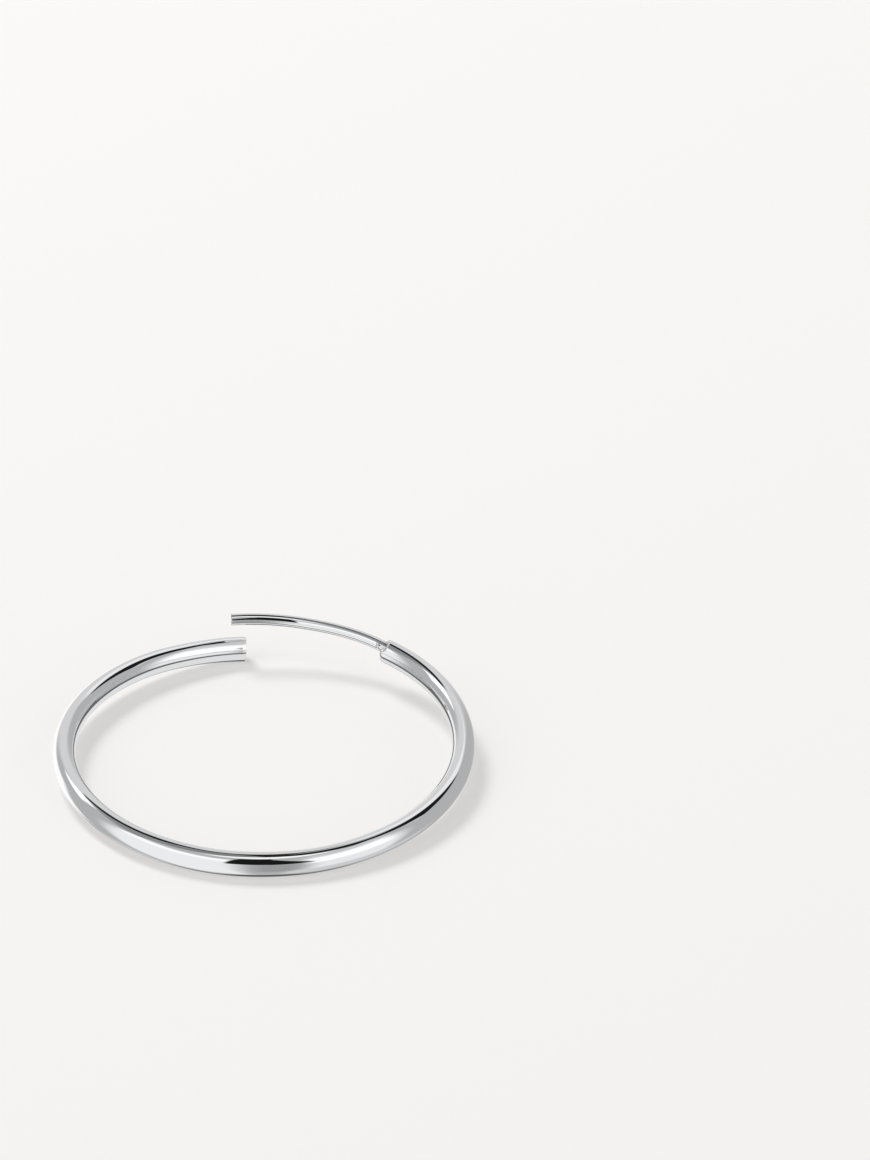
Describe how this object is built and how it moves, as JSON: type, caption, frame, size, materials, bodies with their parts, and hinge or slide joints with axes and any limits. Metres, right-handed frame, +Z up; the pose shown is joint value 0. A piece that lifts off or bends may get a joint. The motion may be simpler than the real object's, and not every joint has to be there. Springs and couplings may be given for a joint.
{
  "type": "hoop earring",
  "caption": "Plain endless hoop earring in polished silver tube, sprung open, with a thin curved ear wire that enters the open end.",
  "frame": {"origin": "bottom centre of the hoop's box, on the surface that it lies on", "axes": "+Z up from the surface, nearly along the hoop's own axis; +Y towards the side where the open end and the ear wire are; +X to the right of the gap as seen from the front"},
  "size_m": [0.0348, 0.0354, 0.0047],
  "materials": {
    "tube_silver": "mirror polished silver, tube outside and bore",
    "wire_silver": "polished drawn silver wire"
  },
  "bodies": {
    "root": {"hoop_tube": "tube_silver", "ear_wire": "wire_silver"}
  },
  "joints": []
}
